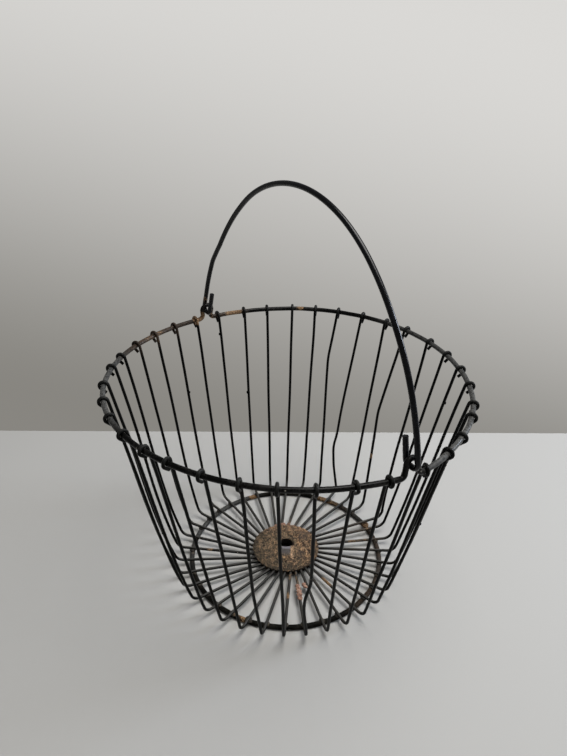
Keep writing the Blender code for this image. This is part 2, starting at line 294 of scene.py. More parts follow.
def rim_height(azimuth):
    """The hoop sags beside the near ear."""
    from_sag = math.remainder(azimuth - RIM_SAG_AZIMUTH, 2 * math.pi)
    return RIM_HEIGHT - RIM_SAG * math.exp(-((from_sag / RIM_SAG_REACH) ** 2))


print("rim wire lies between", round(rim_height(0.05), 4), "and", round(rim_height(math.pi), 4))

# %% [markdown]
# ## How a wire is made
# A wire is a curve with a round bevel.  Drawn wire that was bent by hand is never quite
# straight, so every long run is cut into short steps and each point is pushed aside by a
# smooth noise, about half a millimetre at most.  The curve is then converted, which leaves
# a plain mesh at the origin, and the cut ends are filled.  The wire is a hair thinner than
# in the CAD, so that its rounder sides stay inside the CAD's eight-sided ones.

# %% Helpers that lay a wire
HAIR = 0.00025
WIRE_SMOOTH_ANGLE = math.radians(50.0)


def stands_for(piece, name, node, body="basket"):
    """Name a piece, put it in place of one CAD node, and let it ride on a body."""
    piece.name = name
    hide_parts(node)
    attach(piece, body)


def steps_between(first, last, step):
    """Points of a straight run from first to last, without first."""
    count = max(1, round((last - first).length / step))
    return [first.lerp(last, i / count) for i in range(1, count + 1)]


def rounded_corner(before, corner, after, radius, steps):
    """Points of the arc that rounds the corner between two straight runs."""
    towards_before = (before - corner).normalized()
    towards_after = (after - corner).normalized()
    half_angle = towards_before.angle(towards_after) / 2
    middle = (towards_before + towards_after).normalized()
    centre = corner + middle * radius / math.sin(half_angle)
    tangent_length = radius / math.tan(half_angle)
    first = corner + towards_before * tangent_length - centre
    last = corner + towards_after * tangent_length - centre
    sweep = first.angle(last)
    points = []
    for angle in spread(0.0, sweep, steps):
        weight_first = math.sin(sweep - angle) / math.sin(sweep)
        weight_last = math.sin(angle) / math.sin(sweep)
        points.append(centre + first * weight_first + last * weight_last)
    return points


def lay_wire(points, diameter, sides, closed=False):
    """A round wire along points, as a mesh."""
    deselect_all()
    bpy.ops.curve.primitive_nurbs_path_add(location=(0.0, 0.0, 0.0))
    curve = bpy.context.object.data
    curve.splines.clear()
    spline = curve.splines.new("POLY")
    spline.points.add(len(points) - 1)
    for spline_point, point in zip(spline.points, points):
        spline_point.co = (*point, 1.0)
    spline.use_cyclic_u = closed
    curve.bevel_depth = diameter / 2 - HAIR / 2
    curve.bevel_resolution = (sides - 4) // 2
    curve.use_fill_caps = not closed
    bpy.ops.object.convert(target="MESH")
    bpy.ops.object.shade_smooth_by_angle(angle=WIRE_SMOOTH_ANGLE)
    return bpy.context.object


# %% [markdown]
# ## The rim hoop and its two ears
# The rim is one 4.8 mm wire.  On two sides it is bent up into a loop: the far one like a
# keyhole, the near one lower and gaping at its foot.  It could be a torus with two separate
# eyes, but the real wire runs through without a joint, so the loops belong in the path.

# %% Bend the rim hoop
EAR_PLAY = 0.0006
EAR_GRIP = 0.0006
EAR_HEIGHT = 0.0155
EAR_SLUMP = 0.0010
EAR_GAPE = 0.0038
EAR_TILT = math.radians(8.0)
EAR_BEND = 0.0045
EAR_EYE = (BAIL_WIRE + 2 * EAR_PLAY + RIM_WIRE) / 2
EAR_NECK = (BAIL_WIRE - EAR_GRIP + RIM_WIRE) / 2
EAR_OFFSET = 0.0028
EAR_ANGLE = math.asin(EAR_OFFSET / RIM_RADIUS)
EAR_AZIMUTHS = (-EAR_ANGLE, math.pi + EAR_ANGLE)
EAR_FORMS = ((EAR_SLUMP, EAR_GAPE), (0.0, 0.0))
EAR_STEPS = 12
EAR_BEND_STEPS = 10
RIM_STEPS = 160
RIM_SWAY = 0.0002
RIM_SWAY_WAVES = 9.0


def ear_outline(slump, gape):
    """Ear seen from outside: (distance along the rim, height above it)."""
    neck = EAR_NECK + gape / 2
    eye_height = EAR_HEIGHT - slump - EAR_EYE
    middle = neck + EAR_BEND
    half = []
    for angle in spread(math.pi / 2, 0.0, EAR_STEPS):
        half.append((EAR_EYE * math.cos(angle), eye_height + EAR_EYE * math.sin(angle)))
    for share in (0.33, 0.67):
        half.append((EAR_EYE + (neck - EAR_EYE) * share, eye_height * (1 - share) + EAR_BEND * share))
    for angle in spread(math.pi, 1.5 * math.pi, EAR_BEND_STEPS):
        half.append((middle + EAR_BEND * math.cos(angle), EAR_BEND * (1 + math.sin(angle))))
    return [(-along, height) for along, height in reversed(half[1:])] + half


def ear_spans():
    """The two halves of the rim, each from one ear's azimuth to the next ear's."""
    first, second = EAR_AZIMUTHS
    return ((first, second), (second, first + 2 * math.pi))


def rim_path():
    """Middle of the rim wire, once around and up through both ears."""
    points = []
    for (ear_azimuth, next_azimuth), form in zip(ear_spans(), EAR_FORMS):
        outline = ear_outline(*form)
        for along, height in outline:
            azimuth = ear_azimuth + along / rim_radius(ear_azimuth)
            radius = rim_radius(azimuth) - height * math.tan(EAR_TILT)
            points.append(cylindrical(radius, azimuth, rim_height(azimuth) + height))
        start = ear_azimuth + outline[-1][0] / rim_radius(ear_azimuth)
        end = next_azimuth + outline[0][0] / rim_radius(next_azimuth)
        for azimuth in spread(start, end, RIM_STEPS)[1:-1]:
            sway = RIM_SWAY * noise.noise(outward(azimuth) * RIM_SWAY_WAVES)
            points.append(cylindrical(rim_radius(azimuth) + sway, azimuth, rim_height(azimuth) + sway))
    return points


rim = lay_wire(rim_path(), RIM_WIRE, 14, closed=True)
stands_for(rim, "rim_wire_hoop", "rim_hoop")
print("rim hoop:", len(rim.data.polygons), "faces")

# %% [markdown]
# ## The 36 ribs
# Each rib is one 3.1 mm wire.  It hooks over the rim with its tail on the outside, runs
# down the wall, turns in at the foot and ends between the two hub discs.  One rib copied
# 36 times would look like a machine's work.  The maker spaced them by eye and the basket
# has been knocked since, so each is bent from the same recipe at its own two azimuths.

# %% Where each rib stands
RIB_COUNT = 36
RIBS_A_SIDE = RIB_COUNT // 2
RIB_END_GAP = 0.0006
RIB_OVERHANG = 0.0155
RIB_FOOT_RADIUS = FOOT_RADIUS + RIB_OVERHANG
RIB_CROWDING_RADIUS = RIB_COUNT * (RIB_WIRE + RIB_END_GAP) / (2 * math.pi)
FLOOR_MISS = 0.0070
FLOOR_MISS_DRIFT = 0.0042
FLOOR_MISS_TOWARDS = math.radians(-121.0)
RIB_END_RADIUS = math.hypot(RIB_CROWDING_RADIUS, FLOOR_MISS) + FLOOR_MISS_DRIFT
# Slow errors in spacing: degrees, towards which azimuth, and times round the basket.
RIM_TWIST = math.radians(-0.1)
RIM_DRIFTS = ((1.6, 128.0, 1), (0.8, 103.0, 2))
BASE_TWIST = math.radians(1.4)
BASE_DRIFTS = ((0.7, 8.0, 1), (0.5, 22.0, 2))
# By rib number: degrees by which a hook has slipped, a foot is askew, or a hook is turned.
SLIPPED_HOOKS = {
    1: 1.7, 2: 1.0, 3: -1.0, 5: -3.3, 6: -2.0, 7: -1.7, 8: -1.3, 9: -1.0, 10: 0.8,
    14: -0.8, 15: -1.4, 16: -1.0, 17: -1.3, 24: -1.8, 25: -0.5, 26: -0.6, 27: -0.6,
    28: -0.5, 30: -0.9, 32: 0.8, 33: 0.7, 34: 0.5, 35: 0.8,
}
SKEWED_FEET = {9: -4.5}
TURNED_HOOKS = {1: -28.0}


def even_azimuth(number):
    """Where one rib would stand if all were spaced evenly between the ears."""
    half, place_in_half = divmod(number - 1, RIBS_A_SIDE)
    start, end = ear_spans()[half]
    return start + (end - start) * (place_in_half + 0.5) / RIBS_A_SIDE


def drift(azimuth, drifts):
    """The slow errors in spacing added up at one azimuth."""
    return sum(math.radians(degrees) * math.cos(waves * (azimuth - math.radians(towards)))
               for degrees, towards, waves in drifts)


def rib_azimuths(number):
    """Where one rib stands at the rim, at its foot bend, and at its end in the hub."""
    even = even_azimuth(number)
    at_rim = even + RIM_TWIST + math.radians(SLIPPED_HOOKS.get(number, 0.0)) + drift(even, RIM_DRIFTS)
    at_base = even + BASE_TWIST + drift(even, BASE_DRIFTS)
    miss = FLOOR_MISS + FLOOR_MISS_DRIFT * math.cos(even - FLOOR_MISS_TOWARDS)
    at_hub = at_base + math.asin(miss / RIB_END_RADIUS) - math.asin(miss / RIB_FOOT_RADIUS)
    return at_rim, at_base + math.radians(SKEWED_FEET.get(number, 0.0)), at_hub


print("rib 1 stands at", [round(math.degrees(a), 1) for a in rib_azimuths(1)], "degrees")

# %% Dents and sway of the walls
# By rib number: pairs of the share of the wall below the rim and the shift along the rim.
DENTS = {
    10: ((0.48, 0.009),),
    12: ((0.45, 0.0065), (0.56, 0.0076), (0.69, 0.0081), (0.77, 0.0106), (0.83, 0.0083), (0.88, 0.0067)),
    13: ((0.26, 0.0055), (0.50, 0.004)),
    24: ((0.45, -0.003),),
    25: ((0.40, -0.0045),),
    32: ((0.45, -0.0018), (0.70, -0.0024)),
    34: ((0.22, 0.0008), (0.61, 0.0014), (0.72, -0.0026), (0.80, -0.0030)),
    35: ((0.42, -0.0014), (0.65, -0.0012)),
}
DENT_ROUNDING = 0.03
# Sides that are pushed out: the azimuth of each and how far.
BOWED_SIDES = ((math.radians(236.0), 0.0038), (math.radians(56.0), 0.0014))
PRESSED_WALLS = {9: 0.0035}
SWAY = 0.0005
SWAY_WAVES = 14.0
SWAY_FADE = 0.12
# A fixed seed, because the sway's noise vector would otherwise differ from run to run.
noise.seed_set(1)


def dent_shift(number, share):
    """How far a wall point is pushed along the rim, straight between the dents."""
    knots = [(0.0, 0.0), *DENTS.get(number, ()), (1.0, 0.0)]
    share = min(max(share, 0.0), 1.0)
    for (start, first), (end, last) in zip(knots, knots[1:]):
        if share <= end:
            return first + (last - first) * (share - start) / (end - start)
    return 0.0


def rounded_dent(number, share):
    """The same shift with its corners rounded, as a wire bends."""
    window = spread(-DENT_ROUNDING, DENT_ROUNDING, 6)
    return sum(dent_shift(number, share + offset) for offset in window) / len(window)


def bow_outwards(azimuth, share, pressed):
    """How far a wall point stands out where its side is pushed out, or its wall pressed in."""
    bulge = math.sin(math.pi * share**2) ** 0.8
    bowed = sum(bow * max(0.0, math.cos(azimuth - side)) ** 2 for side, bow in BOWED_SIDES)
    return bulge * (bowed - pressed)


def swayed(points, number):
    """The run of points with a slight sway that fades towards both ends."""
    result = []
    for i, point in enumerate(points):
        share = i / (len(points) - 1)
        fade = min(1.0, share / SWAY_FADE, (1.0 - share) / SWAY_FADE)
        own_stretch = point * SWAY_WAVES + Vector((number * 7.3, number * 3.1, 0.0))
        result.append(point + noise.noise_vector(own_stretch) * SWAY * fade)
    return result


print("rib 12 is knocked", round(1000 * rounded_dent(12, 0.43), 1), "mm aside")

# %% Bend each rib
HOOK_RADIUS = RIM_WIRE / 2 + RIB_WIRE / 2 - HAIR + 0.0001
HOOK_TAIL_ANGLE = math.radians(-47.0)
HOOK_TAIL = 0.0058
HOOK_STEPS = 20
RIB_BEND_RADIUS = 0.009
RIB_BEND_STEPS = 10
RIB_STEP = 0.004
# By rib number: a tighter hook's tail angle and length, and feet that are lifted or spread.
TIGHT_HOOKS = {36: (math.radians(-80.0), 0.0012)}
LIFTED_FEET = {8: 0.0010, 9: 0.0040}
SPREAD_FEET = {9: 0.0030}


def rib_path(number):
    """Middle of one rib wire, from its cut tail under the rim to its end in the hub."""
    at_rim, at_base, at_hub = rib_azimuths(number)
    turn = math.radians(TURNED_HOOKS.get(number, 0.0))
    out = outward(at_rim + turn) / math.cos(turn)
    middle = cylindrical(rim_radius(at_rim), at_rim, rim_height(at_rim))
    slope = math.atan2(rim_radius(at_rim) - HOOK_RADIUS - RIB_FOOT_RADIUS, middle.z - FLOOR_WIRE_HEIGHT)
    tail_angle, tail_length = TIGHT_HOOKS.get(number, (HOOK_TAIL_ANGLE, HOOK_TAIL))
    hook = [middle + (out * math.cos(angle) + UP * math.sin(angle)) * HOOK_RADIUS
            for angle in spread(tail_angle, math.pi - slope, HOOK_STEPS)]
    along_tail = out * math.sin(tail_angle) - UP * math.cos(tail_angle)
    tail = [hook[0] + along_tail * tail_length, hook[0] + along_tail * tail_length / 2]
    foot_radius = RIB_FOOT_RADIUS + SPREAD_FEET.get(number, 0.0)
    corner = cylindrical(foot_radius, at_base, FLOOR_WIRE_HEIGHT + LIFTED_FEET.get(number, 0.0))
    end = cylindrical(RIB_END_RADIUS, at_hub, FLOOR_WIRE_HEIGHT)
    bend = rounded_corner(hook[-1], corner, end, RIB_BEND_RADIUS, RIB_BEND_STEPS)
    wall = steps_between(hook[-1], bend[0], RIB_STEP)[:-1]
    along_rim = UP.cross(out)
    dented = []
    for i, point in enumerate(wall):
        share = (i + 1) / (len(wall) + 1)
        bowed = bow_outwards(at_rim, share, PRESSED_WALLS.get(number, 0.0))
        dented.append(point + along_rim * rounded_dent(number, share) + out * bowed)
    return tail + hook + swayed(dented, number) + bend + steps_between(bend[-1], end, RIB_STEP)


ribs = []
for number in range(1, RIB_COUNT + 1):
    rib = lay_wire(rib_path(number), RIB_WIRE, 10)
    stands_for(rib, f"rib_{number:02d}_wire", f"rib_{number:02d}")
    ribs.append(rib)
print(len(ribs), "ribs,", sum(len(rib.data.polygons) for rib in ribs), "faces")

# %% [markdown]
# ## The foot ring
# The basket stands on a hoop of the same 4.8 mm wire under the ribs.  A torus is the right
# start.  The real hoop was butt-welded, so one short stretch swells, and the rest wavers a
# little; both are pushed into the torus with a slow noise that leaves its height alone.

# %% Make the foot ring
FOOT_JOINT = math.radians(200.0)
JOINT_REACH = 0.04
JOINT_SWELL = 0.0005
FOOT_WAVER = 0.00025
FOOT_WAVES = 5.0

deselect_all()
bpy.ops.mesh.primitive_torus_add(
    location=(0.0, 0.0, FOOT_WIRE / 2),
    major_radius=FOOT_RADIUS,
    minor_radius=FOOT_WIRE / 2,
    major_segments=240,
    minor_segments=16,
)
foot = bpy.context.object
bpy.ops.object.transform_apply()
for vertex in foot.data.vertices:
    azimuth = math.atan2(vertex.co.y, vertex.co.x)
    from_joint = math.remainder(azimuth - FOOT_JOINT, 2 * math.pi)
    waver = FOOT_WAVER * noise.noise(outward(azimuth) * FOOT_WAVES)
    swell = JOINT_SWELL * math.exp(-((from_joint / JOINT_REACH) ** 2))
    from_middle = math.hypot(vertex.co.x, vertex.co.y) - FOOT_RADIUS
    vertex.co += outward(azimuth) * (waver + swell * from_middle / (FOOT_WIRE / 2))
bpy.ops.object.shade_smooth()
stands_for(foot, "foot_ring_wire", "foot_ring")
print("foot ring:", len(foot.data.polygons), "faces")

# %% [markdown]
# ## Weld lumps on the foot ring
# Where a rib crosses the foot ring, a small lump of solder and rust fills the corner
# between the two round wires.  One ball is squashed and pushed about until it looks like
# such a lump, and then copied to each crossing, turned to its rib, each copy with its own
# mesh.  The copies are joined into one piece, because they never move apart.

# %% Helpers for small lumps
BALL_WAVES = 1.6


def floor_point(number, radius):
    """Where one rib's floor run is at a radius, and which way it heads inwards."""
    _, at_base, at_hub = rib_azimuths(number)
    corner = outward(at_base) * RIB_FOOT_RADIUS
    along = (outward(at_hub) * RIB_END_RADIUS - corner).normalized()
    half = corner.dot(along)
    reach = -half - math.sqrt(half * half - corner.length_squared + radius * radius)
    return corner + along * reach, math.atan2(along.y, along.x)


def rough_ball(subdivisions, roughness, seed):
    """A ball of radius 1 m with its surface pushed in and out."""
    deselect_all()
    bpy.ops.mesh.primitive_ico_sphere_add(subdivisions=subdivisions, radius=1.0, location=(0.0, 0.0, 0.0))
    ball = bpy.context.object
    for vertex in ball.data.vertices:
        vertex.co *= 1.0 + roughness * noise.noise(vertex.co * BALL_WAVES + Vector((seed, 0.0, 0.0)))
    return ball


def copies_joined(name, pattern, places):
    """Copies of a pattern at each place matrix, joined into one piece of the basket."""
    copies = []
    for place in places:
        copy = pattern.copy()
        copy.data = pattern.data.copy()
        copy.matrix_world = place
        bpy.context.collection.objects.link(copy)
        copies.append(copy)
    bpy.data.objects.remove(pattern)
    deselect_all()
    for copy in copies:
        copy.select_set(True)
    bpy.context.view_layer.objects.active = copies[0]
    bpy.ops.object.join()
    bpy.ops.object.transform_apply()
    bpy.ops.object.shade_smooth()
    joined = bpy.context.object
    joined.name = name
    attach(joined, "basket")
    print(name, "joins", len(places), "lumps")
    return joined


def lump_place(point, heading, size, spin):
    """Matrix that squashes a ball of radius 1 m to a lump (long, wide, high) along a wire."""
    turn = Matrix.Rotation(heading, 4, "Z")
    return Matrix.Translation(point) @ turn @ Matrix.Diagonal((*size, 1.0)) @ Matrix.Rotation(spin, 4, "Z")


# %% Weld the crossings
LUMP_LONG = 0.0029
LUMP_WIDE = 0.0026
LUMP_HIGH = 0.0017
LUMP_SPREAD = 0.25
LARGE_LUMPS = {9: 1.35, 30: 1.25, 31: 1.3, 24: 1.2}

weld_places = []
for number in range(1, RIB_COUNT + 1):
    point, heading = floor_point(number, FOOT_RADIUS)
    grown = LARGE_LUMPS.get(number, 1.0 + LUMP_SPREAD * noise.noise(Vector((number * 1.7, 0.3, 0.0))))
    point += UP * (FOOT_WIRE + TOUCH / 2)
    size = (LUMP_LONG * grown, LUMP_WIDE * grown, LUMP_HIGH)
    weld_places.append(lump_place(point, heading, size, number * 2.4))
foot_welds = copies_joined("foot_weld_lumps", rough_ball(3, 0.3, 0.0), weld_places)

# %% [markdown]
# ## Nubs and scabs
# A few ribs carry a small hard nub, a drip of old enamel or a bit of scale, and thick tan
# scabs of rust sit on the floor wires in front of the hub.  They could be painted on, but
# from the side a painted lump vanishes, so they are small lumps too.

# %% Put nubs on the walls
# Each nub: rib number, height, on which side of the wire, radius.
NUBS = (
    (17, 0.120, -1.0, 0.0012), (20, 0.140, 1.0, 0.0010), (7, 0.174, 1.0, 0.0011),
    (18, 0.192, -1.0, 0.0012), (28, 0.100, -1.0, 0.0010), (4, 0.085, 1.0, 0.0010),
)


def wall_point(number, height):
    """The point of one rib's wall that is nearest to a height."""
    past_hook = [point for point in rib_path(number) if point.z > 0.02][HOOK_STEPS + 2:]
    return min(past_hook, key=lambda point: abs(point.z - height))


nub_places = []
for number, height, side, radius in NUBS:
    point = wall_point(number, height)
    across = UP.cross((camera.location - point).normalized()) * side
    size = (radius, radius, radius * 1.4)
    nub_places.append(lump_place(point + across * (RIB_WIRE / 2), number * 1.1, size, number * 2.0))
nubs = copies_joined("rib_nubs", rough_ball(2, 0.35, 3.0), nub_places)

# %% Put scabs of rust on the floor wires
# Each scab: rib number, radius at which it sits, length, thickness, how far to the left of its wire.
SCABS = (
    (34, 0.0530, 0.0024, 0.0004, 0.0006), (34, 0.0565, 0.0026, 0.0013, 0.0002),
    (34, 0.0600, 0.0030, 0.0010, 0.0), (34, 0.0640, 0.0034, 0.0004, 0.0),
    (34, 0.0685, 0.0030, 0.0001, 0.0), (35, 0.0530, 0.0022, 0.0006, 0.0030),
    (35, 0.0560, 0.0018, 0.0008, 0.0024), (25, 0.0880, 0.0016, 0.0002, 0.0),
    (14, 0.0360, 0.0022, 0.0008, 0.0), (15, 0.0358, 0.0026, 0.0012, 0.0),
    (15, 0.0372, 0.0018, 0.0006, 0.0020), (16, 0.0355, 0.0018, 0.0008, 0.0),
)

scab_places = []
for number, radius, long, thick, aside in SCABS:
    point, heading = floor_point(number, radius)
    point += UP * (FLOOR_WIRE_HEIGHT + RIB_WIRE * 0.35) + UP.cross(outward(heading)) * aside
    size = (long, RIB_WIRE * 0.52 + thick * 0.4, thick + RIB_WIRE * 0.15)
    scab_places.append(lump_place(point, heading, size, 0.3 * number))
scabs = copies_joined("rust_scabs", rough_ball(3, 0.55, 7.0), scab_places)

# %% [markdown]
# ## The hub's cap
# The inner ends of the ribs are pinched between two sheet discs.  The upper one is domed,
# and its lip is pressed down between the wires, more at the front than at the back, which
# leaves a scalloped edge.  A turned profile alone would leave a plain edge, so the cap is
# drawn from its rim inwards ring by ring, and then the outer rings are pushed down wherever
# no wire holds them up.

# %% Draw the cap ring by ring
HUB_RADIUS = 0.0345
HUB_SHEET = 0.0012
HUB_CROWN = 0.0060
HUB_HOLE_RADIUS = 0.0065
COLLAR_RADIUS = HUB_HOLE_RADIUS + HUB_SHEET
COLLAR_MIDDLE = HUB_HOLE_RADIUS + HUB_SHEET / 2
COLLAR_TURN = 0.0008
# Down through the hole: how far each step stays outside the collar's middle, and its drop.
COLLAR_STEPS = ((0.0003, -0.0003), (0.0, -0.0009), (0.0, -0.0045))
CAP_SEAT = FLOOR_WIRE_HEIGHT + RIB_WIRE / 2 + TOUCH
CAP_EDGE = HUB_RADIUS - HUB_SHEET / 2
CAP_SEGMENTS = 288
CAP_RINGS = 16


def crown_height(radius):
    """Height of the cap's underside above its seat."""
    return HUB_CROWN * (1 - (radius / HUB_RADIUS) ** 2)


def edit_all():
    """Open the active piece for editing, with all of it selected."""
    bpy.ops.object.mode_set(mode="EDIT")
    bpy.ops.mesh.select_all(action="SELECT")


def close_up():
    """Turn the faces of the edited piece outwards and leave edit mode."""
    bpy.ops.mesh.select_all(action="SELECT")
    bpy.ops.mesh.normals_make_consistent(inside=False)
    bpy.ops.object.mode_set(mode="OBJECT")


def draw_in(radius, next_radius, rise):
    """Extrude the selected circle to the next radius, and up or down."""
    bpy.ops.mesh.extrude_region_move()
    shrink = next_radius / radius
    bpy.ops.transform.resize(value=(shrink, shrink, 1.0), center_override=(0.0, 0.0, 0.0))
    bpy.ops.transform.translate(value=(0.0, 0.0, rise))


deselect_all()
bpy.ops.mesh.primitive_circle_add(
    vertices=CAP_SEGMENTS, radius=CAP_EDGE, location=(0.0, 0.0, CAP_SEAT + HUB_SHEET / 2)
)
cap = bpy.context.object
edit_all()
rings = spread(CAP_EDGE, COLLAR_RADIUS + COLLAR_TURN, CAP_RINGS)
for radius, next_radius in zip(rings, rings[1:]):
    draw_in(radius, next_radius, crown_height(next_radius) - crown_height(radius))
radius = rings[-1]
for outside, drop in COLLAR_STEPS:
    draw_in(radius, COLLAR_MIDDLE + outside, drop)
    radius = COLLAR_MIDDLE + outside
bpy.ops.object.mode_set(mode="OBJECT")
bpy.ops.object.transform_apply()
print("cap:", len(cap.data.polygons), "faces before its lip is pressed")

# %% Press the lip down between the wires
LIP_DROP = 0.0030
LIP_WIDTH = 0.0060
LIP_GAP = 0.0001
LIP_EASE = 0.0013
LIP_MEAN = 0.62
BEATEN = 0.0003
BEATEN_WAVES = 160.0
SCALE_IN_HOLE = 0.0022
SCALE_REACH = 0.004


def from_nearest_wire(point):
    """Distance from a point of the lip to the nearest rib's middle line."""
    nearest = 1.0
    for number in range(1, RIB_COUNT + 1):
        _, at_base, at_hub = rib_azimuths(number)
        end = outward(at_hub) * RIB_END_RADIUS
        along = (outward(at_base) * RIB_FOOT_RADIUS - end).normalized()
        offset = Vector((point.x, point.y, 0.0)) - end
        if offset.dot(along) > 0.0:
            nearest = min(nearest, (offset - along * offset.dot(along)).length)
    return nearest


towards_front = in_studio(0.0, -1.0, 0.0)
for vertex in cap.data.vertices:
    radius = math.hypot(vertex.co.x, vertex.co.y)
    near_lip = max(0.0, 1.0 - (HUB_RADIUS - radius) / LIP_WIDTH)
    facing_front = vertex.co.dot(towards_front) / radius
    if near_lip > 0.0:
        clear_of_wire = (from_nearest_wire(vertex.co) - RIB_WIRE / 2 - LIP_GAP) / LIP_EASE
        clear_of_wire = min(max(clear_of_wire, 0.0), 1.0)
        pressed = clear_of_wire * clear_of_wire * (3 - 2 * clear_of_wire)
        vertex.co.z -= LIP_DROP * pressed * near_lip ** 2 * (LIP_MEAN + (1 - LIP_MEAN) * facing_front)
    calmer = min(1.0, (HUB_RADIUS - radius) / LIP_WIDTH)
    vertex.co.z += BEATEN * noise.noise(vertex.co * BEATEN_WAVES) * calmer
    near_hole = max(0.0, 1.0 - (radius - COLLAR_MIDDLE) / SCALE_REACH)
    vertex.co -= towards_front * SCALE_IN_HOLE * max(0.0, facing_front) ** 2 * near_hole ** 2
print("lip pressed down by up to", 1000 * LIP_DROP, "mm")

# %% Give the cap its sheet thickness
SHEET_SMOOTH_ANGLE = math.radians(45.0)

edit_all()
close_up()
thick = cap.modifiers.new("sheet", "SOLIDIFY")
thick.thickness = HUB_SHEET
thick.offset = 0.0
bpy.ops.object.modifier_apply(modifier="sheet")
bpy.ops.object.shade_smooth_by_angle(angle=SHEET_SMOOTH_ANGLE)
stands_for(cap, "hub_cap", "hub_top_disc")
print("cap:", len(cap.data.polygons), "faces,", [round(1000 * n, 2) for n in cap.dimensions], "mm")

# %% [markdown]
# ## The hub's lower disc
# Under the wires lies a flat washer-like disc, and the collar of the cap is flared over it
# so that the two grip the wires.  It shows only from below and between the wires.

# %% Make the lower disc
WASHER_TOP = FLOOR_WIRE_HEIGHT - RIB_WIRE / 2 - TOUCH
WASHER_SETBACK = 0.0015
WASHER_EDGE = HUB_RADIUS - WASHER_SETBACK
WASHER_SEGMENTS = 96
WASHER_ROUNDING = 0.0003

deselect_all()
bpy.ops.mesh.primitive_circle_add(
    vertices=WASHER_SEGMENTS, radius=WASHER_EDGE, location=(0.0, 0.0, WASHER_TOP - HUB_SHEET)
)
washer = bpy.context.object
edit_all()
draw_in(WASHER_EDGE, COLLAR_RADIUS + TOUCH, 0.0)
bpy.ops.mesh.select_all(action="SELECT")
bpy.ops.mesh.extrude_region_move(TRANSFORM_OT_translate={"value": (0.0, 0.0, HUB_SHEET)})
close_up()
bpy.ops.object.transform_apply()
rounding = washer.modifiers.new("edge", "BEVEL")
rounding.width = WASHER_ROUNDING
rounding.segments = 2
bpy.ops.object.modifier_apply(modifier="edge")
bpy.ops.object.shade_smooth_by_angle(angle=SHEET_SMOOTH_ANGLE)
stands_for(washer, "hub_washer", "hub_bottom_disc")
print("lower disc:", len(washer.data.polygons), "faces")

# %% [markdown]
# ## The bail
# The handle is one wire arch.  Each end is turned in through its ear and up again, so the
# hook hangs in the loop and the bail can swing.  The arch is round at the crown and flatter
# at the sides, and its left side has been knocked a little out of its line.

# %% Shape the bail, laid flat
BAIL_RISE = 0.162
BAIL_LEG = 0.010
BAIL_LEG_SLANT = math.radians(14.0)
BAIL_BEND = 0.0045
BAIL_BEND_STEPS = 10
BAIL_STEP = 0.003
BAIL_STUBS = (0.020, 0.0236)
EAR_SLACK = 0.0032
AXIS_ABOVE_RIM = EAR_HEIGHT - RIM_WIRE / 2 - BAIL_WIRE / 2 - EAR_SLACK
HOOK_CLEARANCE = 0.0005
HOOK_SLOPE = (EAR_HEIGHT - AXIS_ABOVE_RIM) * (math.tan(BAIL_LEG_SLANT) - math.tan(EAR_TILT))
HOOK_WIDTH = RIM_WIRE + BAIL_WIRE + 2 * (HOOK_CLEARANCE + HOOK_SLOPE)
CROWN_ANGLE = math.radians(39.5)
CROWN_STEPS = 26
SIDE_STEPS = 30


def bail_hook(ear_x, side, stub):
    """Hooked end of the bail from its cut stub to the foot of the arch, seen square on."""
    lean = math.tan(BAIL_LEG_SLANT) * side
    stub_foot = Vector((ear_x - side * HOOK_WIDTH / 2, 0.0, 0.0))
    leg_foot = Vector((ear_x + side * HOOK_WIDTH / 2, 0.0, 0.0))
    stub_end = stub_foot + Vector((-lean * stub, 0.0, stub))
    leg_end = leg_foot + Vector((-lean * BAIL_LEG, 0.0, BAIL_LEG))
    turn_in = rounded_corner(stub_end, stub_foot, leg_foot, BAIL_BEND, BAIL_BEND_STEPS)
    turn_up = rounded_corner(stub_foot, leg_foot, leg_end, BAIL_BEND, BAIL_BEND_STEPS)
    straight = steps_between(stub_end, turn_in[0], BAIL_STEP)[:-1]
    return [stub_end, *straight, *turn_in, *turn_up], leg_end


def bail_arch(foot_left, foot_right):
    """Three-centred arch between the legs: a crown arc and two flatter side arcs."""
    middle_x = (foot_left.x + foot_right.x) / 2
    half_span = (foot_right.x - foot_left.x) / 2
    rise = BAIL_RISE - foot_right.z
    crown_sin, crown_cos = math.sin(CROWN_ANGLE), math.cos(CROWN_ANGLE)
    side_sin = math.cos(BAIL_LEG_SLANT) - crown_sin
    side_cos = math.sin(BAIL_LEG_SLANT) - crown_cos
    determinant = crown_sin * side_cos - side_sin * (crown_cos - 1)
    crown_radius = (half_span * side_cos + rise * side_sin) / determinant
    side_radius = (-rise * crown_sin - half_span * (crown_cos - 1)) / determinant
    half = []
    for angle in spread(0.0, CROWN_ANGLE, CROWN_STEPS):
        half.append((crown_radius * math.sin(angle), BAIL_RISE - crown_radius * (1 - math.cos(angle))))
    join_x, join_z = half[-1]
    for angle in spread(CROWN_ANGLE, math.pi / 2 - BAIL_LEG_SLANT, SIDE_STEPS)[1:]:
        x = join_x + side_radius * (math.sin(angle) - crown_sin)
        z = join_z + side_radius * (math.cos(angle) - crown_cos)
        half.append((x, z))
    left = [Vector((middle_x - x, 0.0, z)) for x, z in reversed(half[1:])]
    right = [Vector((middle_x + x, 0.0, z)) for x, z in half]
    return left + right


tilted_in = AXIS_ABOVE_RIM * math.tan(EAR_TILT)
ears_x = [(rim_radius(azimuth) - tilted_in) * math.cos(azimuth) for azimuth in EAR_AZIMUTHS]
hook_right, foot_right = bail_hook(ears_x[0], 1, BAIL_STUBS[0])
hook_left, foot_left = bail_hook(ears_x[1], -1, BAIL_STUBS[1])
flat_bail = hook_left + bail_arch(foot_left, foot_right) + hook_right[::-1]
print("the bail's ears are", round(1000 * (ears_x[0] - ears_x[1]), 1), "mm apart")

